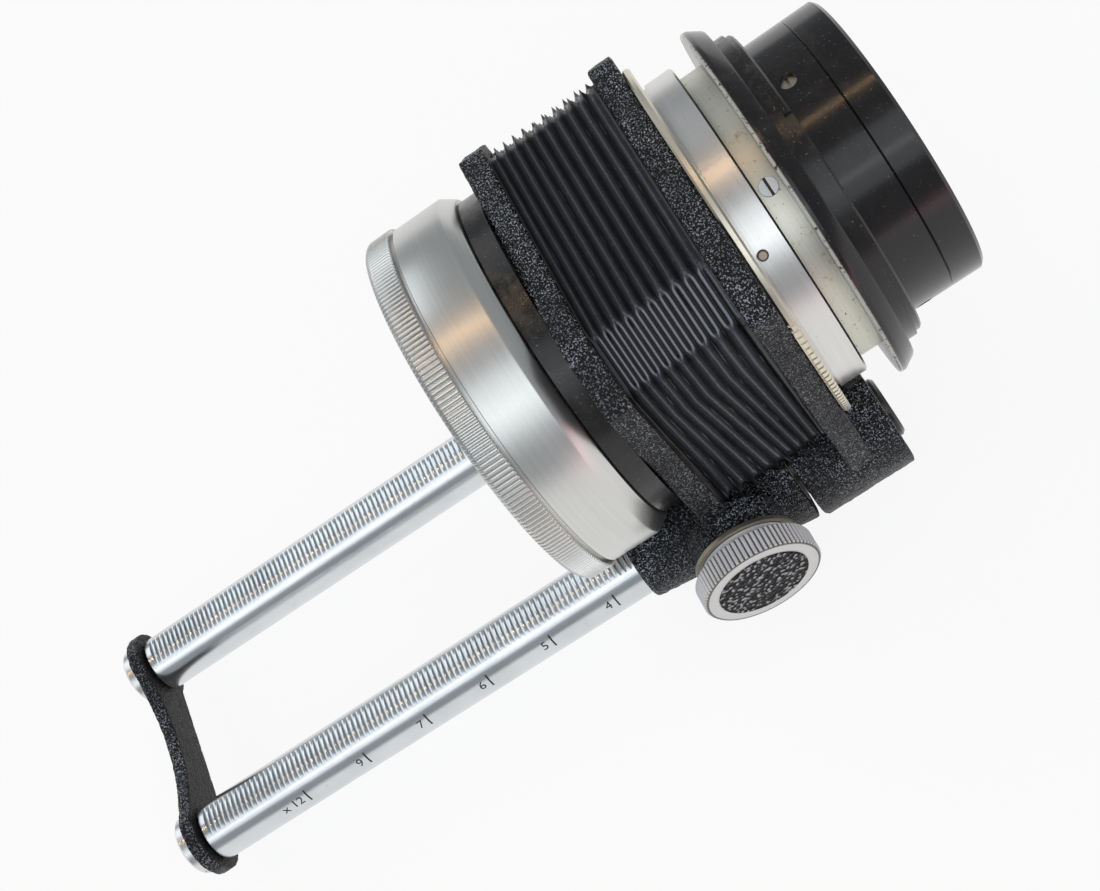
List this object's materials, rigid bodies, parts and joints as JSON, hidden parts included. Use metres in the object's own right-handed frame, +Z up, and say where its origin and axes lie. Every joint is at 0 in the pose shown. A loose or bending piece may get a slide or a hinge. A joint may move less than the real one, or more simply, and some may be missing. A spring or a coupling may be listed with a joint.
{
  "type": "macro bellows unit",
  "caption": "Close-up camera bellows unit: toothed rails carry a sliding standard driven by a side knob, with pleated bellows, knurled camera ring and stepped lens barrel.",
  "frame": {"origin": "mouth of the tripod socket, in the flat base of the fixed standard", "axes": "+X along the rails towards the lens barrel, +Z up, the focusing knob on the -Y side"},
  "size_m": [0.1554, 0.0692, 0.0746],
  "materials": {
    "crackle_paint": "black crackle enamel on cast metal",
    "rail_metal": "satin bright",
    "satin_silver": "satin turned",
    "aged_silver": "aged, slightly pitted",
    "black_metal": "semi-gloss black",
    "dusty_black": "worn, dusty black",
    "bellows_cloth": "black pleated leathercloth",
    "leather_inlay": "black pebbled leather",
    "brass": "turned",
    "screw_steel": "bright slotted screws"
  },
  "bodies": {
    "base": {"fixed_standard": "crackle_paint", "near_rail": "rail_metal", "far_rail": "rail_metal", "end_yoke": "crackle_paint", "yoke_screws": "screw_steel", "rail_set_screws": "screw_steel", "tripod_bush": "brass", "bellows": "bellows_cloth", "front_bellows_frame": "black_metal", "adapter_disc": "satin_silver", "adapter_tube": "satin_silver", "index_pin": "brass", "spacer_tube": "aged_silver", "spacer_screws": "screw_steel", "lens_flange": "black_metal", "slotted_collar": "black_metal", "lens_barrel": "black_metal", "barrel_screws": "black_metal", "barrel_end_ring": "black_metal"},
    "carriage": {"moving_standard": "crackle_paint", "rail_bushes": "brass", "rear_bellows_frame": "black_metal", "mount_ring": "dusty_black", "mount_ring_screws": "screw_steel", "camera_ring": "satin_silver", "shaft_bushes": "brass", "clamp_pad": "brass"},
    "focus_drive": {"pinion_shaft": "screw_steel", "shaft_clip": "screw_steel", "knob_washer": "brass", "focus_knob": "satin_silver", "knob_inlay": "leather_inlay", "knob_screw": "screw_steel"},
    "clamp": {"clamp_spindle": "screw_steel", "clamp_knob": "satin_silver"}
  },
  "joints": [
    {"name": "carriage_slide", "type": "slide", "parent": "base", "child": "carriage", "axis": [1, 0, 0], "range_m": [-0.084, 0.0004], "deforming": ["bellows"]},
    {"name": "focus_turn", "type": "hinge", "parent": "carriage", "child": "focus_drive", "pos_m": [-0.02016, 0, 0.0191], "axis": [0, 1, 0], "range_deg": [-2040, 20]},
    {"name": "clamp_turn", "type": "hinge", "parent": "carriage", "child": "clamp", "pos_m": [-0.0306, 0.03, 0.012], "axis": [0, -1, 0], "range_deg": [0, 180]}
  ],
  "couplings": [
    {"joint": "focus_turn", "follows": "carriage_slide", "rad_per_m": 416.67}
  ]
}
